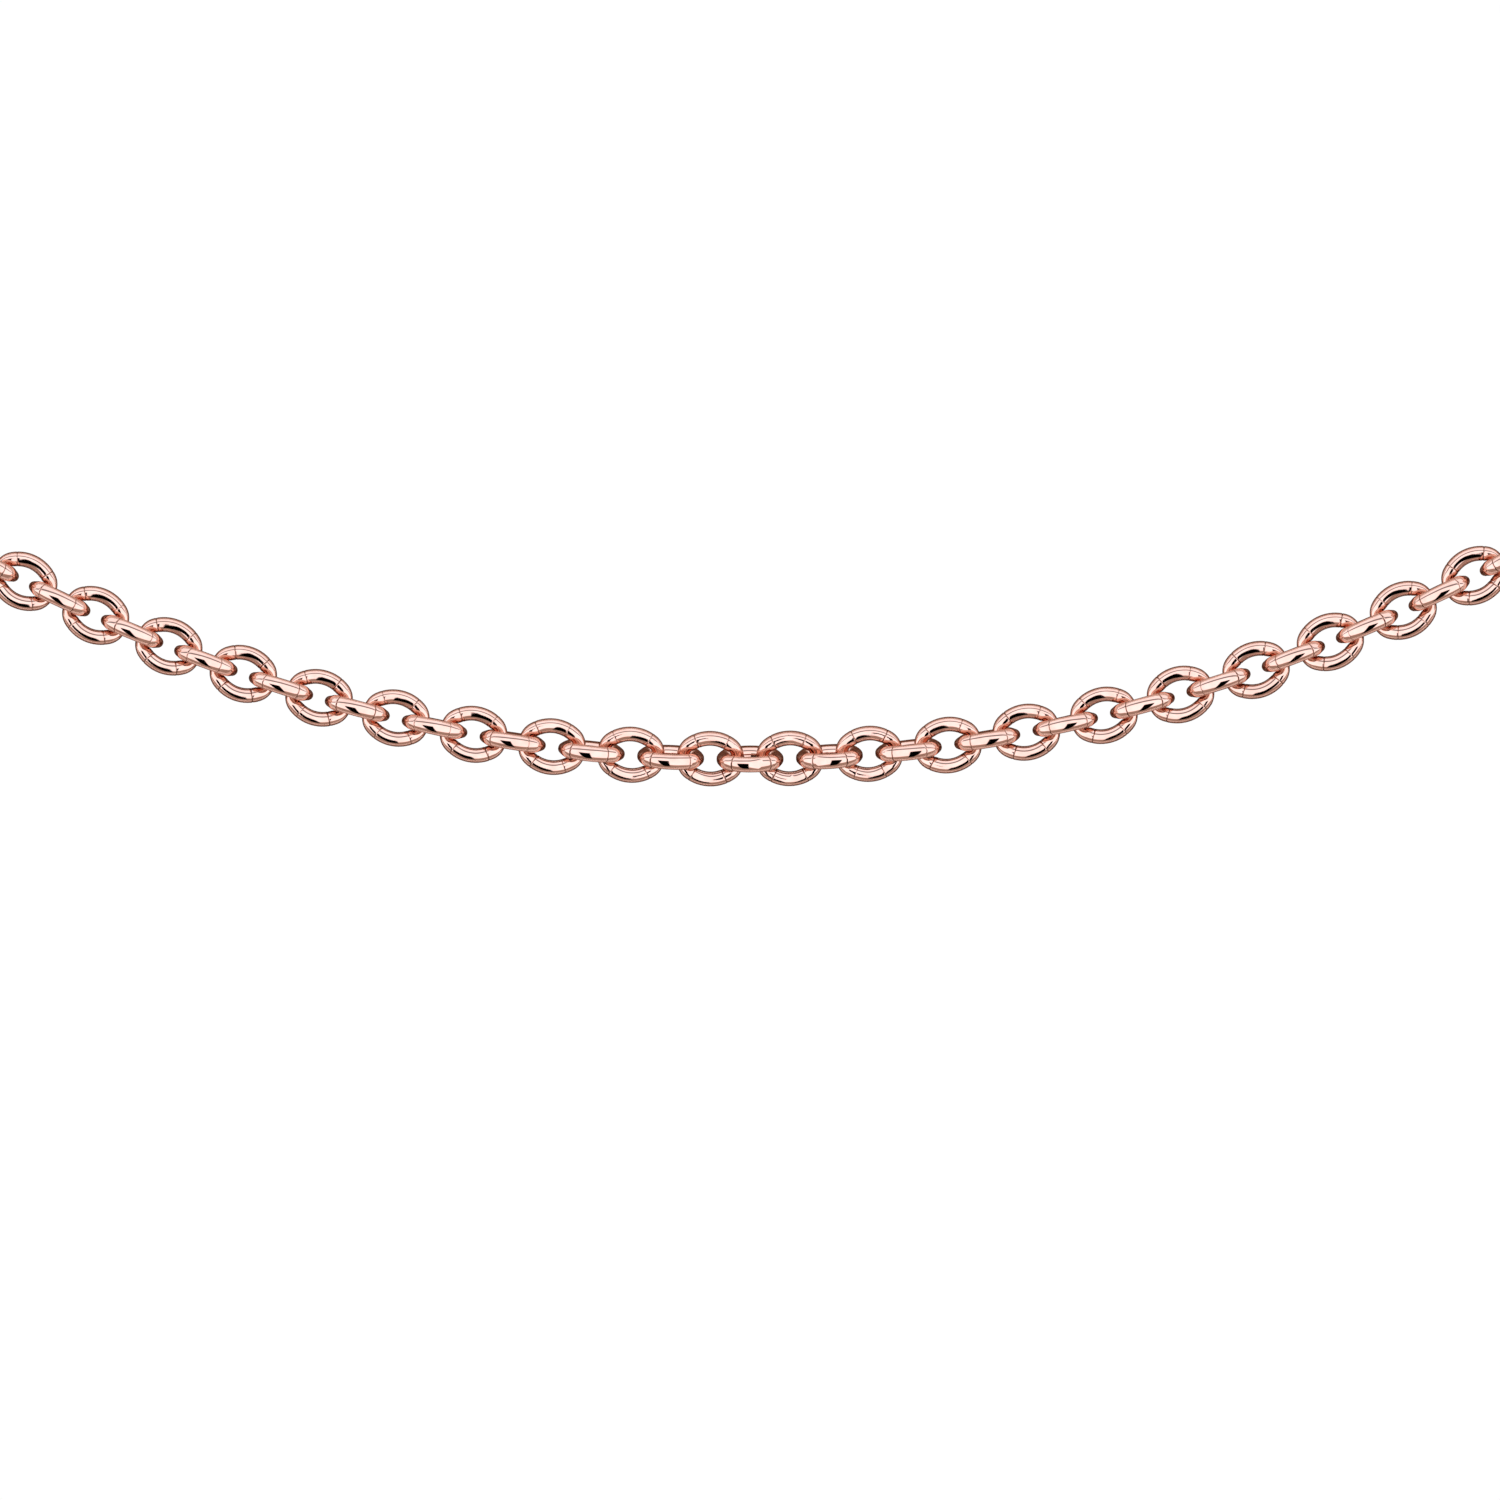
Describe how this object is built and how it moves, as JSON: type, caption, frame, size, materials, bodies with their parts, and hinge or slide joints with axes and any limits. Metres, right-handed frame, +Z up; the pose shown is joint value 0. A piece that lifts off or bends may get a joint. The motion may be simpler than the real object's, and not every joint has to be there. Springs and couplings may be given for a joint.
{
  "type": "chain necklace",
  "caption": "Fine oval-link chain necklace in polished rose gold with a spring-ring clasp, laid open in a curve.",
  "frame": {"origin": "on the table under the centre of the middle link, the lowest point of the curve", "axes": "+Z up from the table, +X along the middle link towards the catch-ring end, +Y into the curve, towards both ends"},
  "size_m": [0.2559, 0.1806, 0.0024],
  "materials": {
    "chain": "polished rose gold",
    "spring": "drawn wire"
  },
  "bodies": {
    "link_c00": {"link_c00": "chain"},
    "link_l01": {"link_l01": "chain"},
    "link_l02": {"link_l02": "chain"},
    "link_l03": {"link_l03": "chain"},
    "link_l04": {"link_l04": "chain"},
    "link_l05": {"link_l05": "chain"},
    "link_l06": {"link_l06": "chain"},
    "link_l07": {"link_l07": "chain"},
    "link_l08": {"link_l08": "chain"},
    "link_l09": {"link_l09": "chain"},
    "link_l10": {"link_l10": "chain"},
    "link_l11": {"link_l11": "chain"},
    "link_l12": {"link_l12": "chain"},
    "link_l13": {"link_l13": "chain"},
    "link_l14": {"link_l14": "chain"},
    "link_l15": {"link_l15": "chain"},
    "link_l16": {"link_l16": "chain"},
    "link_l17": {"link_l17": "chain"},
    "link_l18": {"link_l18": "chain"},
    "link_l19": {"link_l19": "chain"},
    "link_l20": {"link_l20": "chain"},
    "link_r01": {"link_r01": "chain"},
    "link_r02": {"link_r02": "chain"},
    "link_r03": {"link_r03": "chain"},
    "link_r04": {"link_r04": "chain"},
    "link_r05": {"link_r05": "chain"},
    "link_r06": {"link_r06": "chain"},
    "link_r07": {"link_r07": "chain"},
    "link_r08": {"link_r08": "chain"},
    "link_r09": {"link_r09": "chain"},
    "link_r10": {"link_r10": "chain"},
    "link_r11": {"link_r11": "chain"},
    "link_r12": {"link_r12": "chain"},
    "link_r13": {"link_r13": "chain"},
    "link_r14": {"link_r14": "chain"},
    "link_r15": {"link_r15": "chain"},
    "link_r16": {"link_r16": "chain"},
    "link_r17": {"link_r17": "chain"},
    "link_r18": {"link_r18": "chain"},
    "link_r19": {"link_r19": "chain"},
    "link_r20": {"link_r20": "chain"},
    "run_l1": {"run_l1": "chain"},
    "run_l2": {"run_l2": "chain"},
    "run_l3": {"run_l3": "chain"},
    "run_l4": {"run_l4": "chain"},
    "run_l5": {"run_l5": "chain"},
    "run_l6": {"run_l6": "chain"},
    "run_r1": {"run_r1": "chain"},
    "run_r2": {"run_r2": "chain"},
    "run_r3": {"run_r3": "chain"},
    "run_r4": {"run_r4": "chain"},
    "run_r5": {"run_r5": "chain"},
    "run_r6": {"run_r6": "chain"},
    "clasp_jump_ring": {"clasp_jump_ring": "chain"},
    "clasp_case": {"clasp_case": "chain", "clasp_eye": "chain", "clasp_spring": "spring"},
    "clasp_bolt": {"clasp_bolt": "chain", "clasp_lug": "chain"},
    "catch_ring": {"catch_ring": "chain"}
  },
  "joints": [
    {"name": "bolt_slide_back", "type": "hinge", "parent": "clasp_case", "child": "clasp_bolt", "pos_m": [-0.12608, 0.17649, 0.0007], "axis": [0, 0, -1], "range_deg": [0, 58], "stiffness_Nm_per_rad": 0.00002, "deforming": ["clasp_spring"]},
    {"name": "clasp_lift", "type": "hinge", "parent": "clasp_jump_ring", "child": "clasp_case", "pos_m": [-0.12497, 0.17251, 0.0011], "axis": [0.9631, 0.269, 0], "range_deg": [-60, 60]},
    {"name": "jump_ring_swing", "type": "hinge", "parent": "run_l6", "child": "clasp_jump_ring", "pos_m": [-0.12453, 0.17094, 0.0012], "axis": [0, 0, 1], "range_deg": [-60, 60]},
    {"name": "catch_ring_swing", "type": "hinge", "parent": "run_r6", "child": "catch_ring", "pos_m": [0.12453, 0.17094, 0.0012], "axis": [0, 0, -1], "range_deg": [-60, 60]},
    {"name": "link_l01_swing", "type": "hinge", "parent": "link_c00", "child": "link_l01", "pos_m": [-0.00113, 0, 0.0012], "axis": [0, 0.2588, -0.9659], "range_deg": [-60, 60]},
    {"name": "link_l03_swing", "type": "hinge", "parent": "link_l02", "child": "link_l03", "pos_m": [-0.00447, 0.00015, 0.0012], "axis": [-0.0114, -0.2128, 0.977], "range_deg": [-60, 60]},
    {"name": "link_l05_swing", "type": "hinge", "parent": "link_l04", "child": "link_l05", "pos_m": [-0.0078, 0.00048, 0.0012], "axis": [0.0126, 0.1175, -0.993], "range_deg": [-60, 60]},
    {"name": "link_l07_swing", "type": "hinge", "parent": "link_l06", "child": "link_l07", "pos_m": [-0.0111, 0.00098, 0.0012], "axis": [-0.007, -0.0434, 0.999], "range_deg": [-60, 60]},
    {"name": "link_l09_swing", "type": "hinge", "parent": "link_l08", "child": "link_l09", "pos_m": [-0.01437, 0.00165, 0.0012], "axis": [0.0023, 0.0107, -0.9999], "range_deg": [-60, 60]},
    {"name": "link_l11_swing", "type": "hinge", "parent": "link_l10", "child": "link_l11", "pos_m": [-0.0176, 0.00249, 0.0012], "axis": [-0.0005, -0.0018, 1], "range_deg": [-60, 60]},
    {"name": "link_l13_swing", "type": "hinge", "parent": "link_l12", "child": "link_l13", "pos_m": [-0.02079, 0.00348, 0.0012], "axis": [0.0001, 0.0002, -1], "range_deg": [-60, 60]},
    {"name": "link_l15_swing", "type": "hinge", "parent": "link_l14", "child": "link_l15", "pos_m": [-0.02393, 0.00463, 0.0012], "axis": [0, 0, 1], "range_deg": [-60, 60]},
    {"name": "link_l17_swing", "type": "hinge", "parent": "link_l16", "child": "link_l17", "pos_m": [-0.02701, 0.00592, 0.0012], "axis": [0, 0, -1], "range_deg": [-60, 60]},
    {"name": "link_l19_swing", "type": "hinge", "parent": "link_l18", "child": "link_l19", "pos_m": [-0.03003, 0.00735, 0.0012], "axis": [0, 0, 1], "range_deg": [-60, 60]},
    {"name": "run_l1_swing", "type": "hinge", "parent": "link_l20", "child": "run_l1", "pos_m": [-0.03299, 0.0089, 0.0012], "axis": [0, 0, -1], "range_deg": [-60, 60]},
    {"name": "run_l3_swing", "type": "hinge", "parent": "run_l2", "child": "run_l3", "pos_m": [-0.07699, 0.05373, 0.0012], "axis": [0, 0, 1], "range_deg": [-60, 60]},
    {"name": "run_l5_swing", "type": "hinge", "parent": "run_l4", "child": "run_l5", "pos_m": [-0.10486, 0.11063, 0.0012], "axis": [0, 0, -1], "range_deg": [-60, 60]},
    {"name": "link_r01_swing", "type": "hinge", "parent": "link_c00", "child": "link_r01", "pos_m": [0.00113, 0, 0.0012], "axis": [0, -0.2588, 0.9659], "range_deg": [-60, 60]},
    {"name": "link_r03_swing", "type": "hinge", "parent": "link_r02", "child": "link_r03", "pos_m": [0.00447, 0.00015, 0.0012], "axis": [-0.0114, 0.2128, -0.977], "range_deg": [-60, 60]},
    {"name": "link_r05_swing", "type": "hinge", "parent": "link_r04", "child": "link_r05", "pos_m": [0.0078, 0.00048, 0.0012], "axis": [0.0126, -0.1175, 0.993], "range_deg": [-60, 60]},
    {"name": "link_r07_swing", "type": "hinge", "parent": "link_r06", "child": "link_r07", "pos_m": [0.0111, 0.00098, 0.0012], "axis": [-0.007, 0.0434, -0.999], "range_deg": [-60, 60]},
    {"name": "link_r09_swing", "type": "hinge", "parent": "link_r08", "child": "link_r09", "pos_m": [0.01437, 0.00165, 0.0012], "axis": [0.0023, -0.0107, 0.9999], "range_deg": [-60, 60]},
    {"name": "link_r11_swing", "type": "hinge", "parent": "link_r10", "child": "link_r11", "pos_m": [0.0176, 0.00249, 0.0012], "axis": [-0.0005, 0.0018, -1], "range_deg": [-60, 60]},
    {"name": "link_r13_swing", "type": "hinge", "parent": "link_r12", "child": "link_r13", "pos_m": [0.02079, 0.00348, 0.0012], "axis": [0.0001, -0.0002, 1], "range_deg": [-60, 60]},
    {"name": "link_r15_swing", "type": "hinge", "parent": "link_r14", "child": "link_r15", "pos_m": [0.02393, 0.00463, 0.0012], "axis": [0, 0, -1], "range_deg": [-60, 60]},
    {"name": "link_r17_swing", "type": "hinge", "parent": "link_r16", "child": "link_r17", "pos_m": [0.02701, 0.00592, 0.0012], "axis": [0, 0, 1], "range_deg": [-60, 60]},
    {"name": "link_r19_swing", "type": "hinge", "parent": "link_r18", "child": "link_r19", "pos_m": [0.03003, 0.00735, 0.0012], "axis": [0, 0, -1], "range_deg": [-60, 60]},
    {"name": "run_r1_swing", "type": "hinge", "parent": "link_r20", "child": "run_r1", "pos_m": [0.03299, 0.0089, 0.0012], "axis": [0, 0, 1], "range_deg": [-60, 60]},
    {"name": "run_r3_swing", "type": "hinge", "parent": "run_r2", "child": "run_r3", "pos_m": [0.07699, 0.05373, 0.0012], "axis": [0, 0, -1], "range_deg": [-60, 60]},
    {"name": "run_r5_swing", "type": "hinge", "parent": "run_r4", "child": "run_r5", "pos_m": [0.10486, 0.11063, 0.0012], "axis": [0, 0, 1], "range_deg": [-60, 60]},
    {"name": "link_l02_lift", "type": "hinge", "parent": "link_l01", "child": "link_l02", "pos_m": [-0.0028, 0.00005, 0.0012], "axis": [0.0259, 0.9688, 0.2466], "range_deg": [-75, 75]},
    {"name": "link_l04_lift", "type": "hinge", "parent": "link_l03", "child": "link_l04", "pos_m": [-0.00614, 0.00029, 0.0012], "axis": [-0.0788, -0.9828, -0.1668], "range_deg": [-75, 75]},
    {"name": "link_l06_lift", "type": "hinge", "parent": "link_l05", "child": "link_l06", "pos_m": [-0.00945, 0.00071, 0.0012], "axis": [0.132, 0.9883, 0.0757], "range_deg": [-75, 75]},
    {"name": "link_l08_lift", "type": "hinge", "parent": "link_l07", "child": "link_l08", "pos_m": [-0.01274, 0.00129, 0.0012], "axis": [-0.1838, -0.9827, -0.0231], "range_deg": [-75, 75]},
    {"name": "link_l10_lift", "type": "hinge", "parent": "link_l09", "child": "link_l10", "pos_m": [-0.01599, 0.00205, 0.0012], "axis": [0.2338, 0.9723, 0.0047], "range_deg": [-75, 75]},
    {"name": "link_l12_lift", "type": "hinge", "parent": "link_l11", "child": "link_l12", "pos_m": [-0.0192, 0.00296, 0.0012], "axis": [-0.282, -0.9594, -0.0006], "range_deg": [-75, 75]},
    {"name": "link_l14_lift", "type": "hinge", "parent": "link_l13", "child": "link_l14", "pos_m": [-0.02237, 0.00404, 0.0012], "axis": [0.3281, 0.9446, 0.0001], "range_deg": [-75, 75]},
    {"name": "link_l16_lift", "type": "hinge", "parent": "link_l15", "child": "link_l16", "pos_m": [-0.02548, 0.00526, 0.0012], "axis": [-0.372, -0.9282, 0], "range_deg": [-75, 75]},
    {"name": "link_l18_lift", "type": "hinge", "parent": "link_l17", "child": "link_l18", "pos_m": [-0.02853, 0.00662, 0.0012], "axis": [0.4136, 0.9105, 0], "range_deg": [-75, 75]},
    {"name": "link_l20_lift", "type": "hinge", "parent": "link_l19", "child": "link_l20", "pos_m": [-0.03152, 0.00811, 0.0012], "axis": [-0.4527, -0.8917, 0], "range_deg": [-75, 75]},
    {"name": "run_l2_lift", "type": "hinge", "parent": "run_l1", "child": "run_l2", "pos_m": [-0.05771, 0.02859, 0.0012], "axis": [0.7215, 0.6924, 0], "range_deg": [-75, 75]},
    {"name": "run_l4_lift", "type": "hinge", "parent": "run_l3", "child": "run_l4", "pos_m": [-0.09231, 0.0815, 0.0012], "axis": [-0.8994, -0.4371, 0], "range_deg": [-75, 75]},
    {"name": "run_l6_lift", "type": "hinge", "parent": "run_l5", "child": "run_l6", "pos_m": [-0.11543, 0.14054, 0.0012], "axis": [0.9509, 0.3095, 0], "range_deg": [-75, 75]},
    {"name": "link_r02_lift", "type": "hinge", "parent": "link_r01", "child": "link_r02", "pos_m": [0.0028, 0.00005, 0.0012], "axis": [0.0259, -0.9688, -0.2466], "range_deg": [-75, 75]},
    {"name": "link_r04_lift", "type": "hinge", "parent": "link_r03", "child": "link_r04", "pos_m": [0.00614, 0.00029, 0.0012], "axis": [-0.0788, 0.9828, 0.1668], "range_deg": [-75, 75]},
    {"name": "link_r06_lift", "type": "hinge", "parent": "link_r05", "child": "link_r06", "pos_m": [0.00945, 0.00071, 0.0012], "axis": [0.132, -0.9883, -0.0757], "range_deg": [-75, 75]},
    {"name": "link_r08_lift", "type": "hinge", "parent": "link_r07", "child": "link_r08", "pos_m": [0.01274, 0.00129, 0.0012], "axis": [-0.1838, 0.9827, 0.0231], "range_deg": [-75, 75]},
    {"name": "link_r10_lift", "type": "hinge", "parent": "link_r09", "child": "link_r10", "pos_m": [0.01599, 0.00205, 0.0012], "axis": [0.2338, -0.9723, -0.0047], "range_deg": [-75, 75]},
    {"name": "link_r12_lift", "type": "hinge", "parent": "link_r11", "child": "link_r12", "pos_m": [0.0192, 0.00296, 0.0012], "axis": [-0.282, 0.9594, 0.0006], "range_deg": [-75, 75]},
    {"name": "link_r14_lift", "type": "hinge", "parent": "link_r13", "child": "link_r14", "pos_m": [0.02237, 0.00404, 0.0012], "axis": [0.3281, -0.9446, -0.0001], "range_deg": [-75, 75]},
    {"name": "link_r16_lift", "type": "hinge", "parent": "link_r15", "child": "link_r16", "pos_m": [0.02548, 0.00526, 0.0012], "axis": [-0.372, 0.9282, 0], "range_deg": [-75, 75]},
    {"name": "link_r18_lift", "type": "hinge", "parent": "link_r17", "child": "link_r18", "pos_m": [0.02853, 0.00662, 0.0012], "axis": [0.4136, -0.9105, 0], "range_deg": [-75, 75]},
    {"name": "link_r20_lift", "type": "hinge", "parent": "link_r19", "child": "link_r20", "pos_m": [0.03152, 0.00811, 0.0012], "axis": [-0.4527, 0.8917, 0], "range_deg": [-75, 75]},
    {"name": "run_r2_lift", "type": "hinge", "parent": "run_r1", "child": "run_r2", "pos_m": [0.05771, 0.02859, 0.0012], "axis": [0.7215, -0.6924, 0], "range_deg": [-75, 75]},
    {"name": "run_r4_lift", "type": "hinge", "parent": "run_r3", "child": "run_r4", "pos_m": [0.09231, 0.0815, 0.0012], "axis": [-0.8994, 0.4371, 0], "range_deg": [-75, 75]},
    {"name": "run_r6_lift", "type": "hinge", "parent": "run_r5", "child": "run_r6", "pos_m": [0.11543, 0.14054, 0.0012], "axis": [0.9509, -0.3095, 0], "range_deg": [-75, 75]}
  ]
}
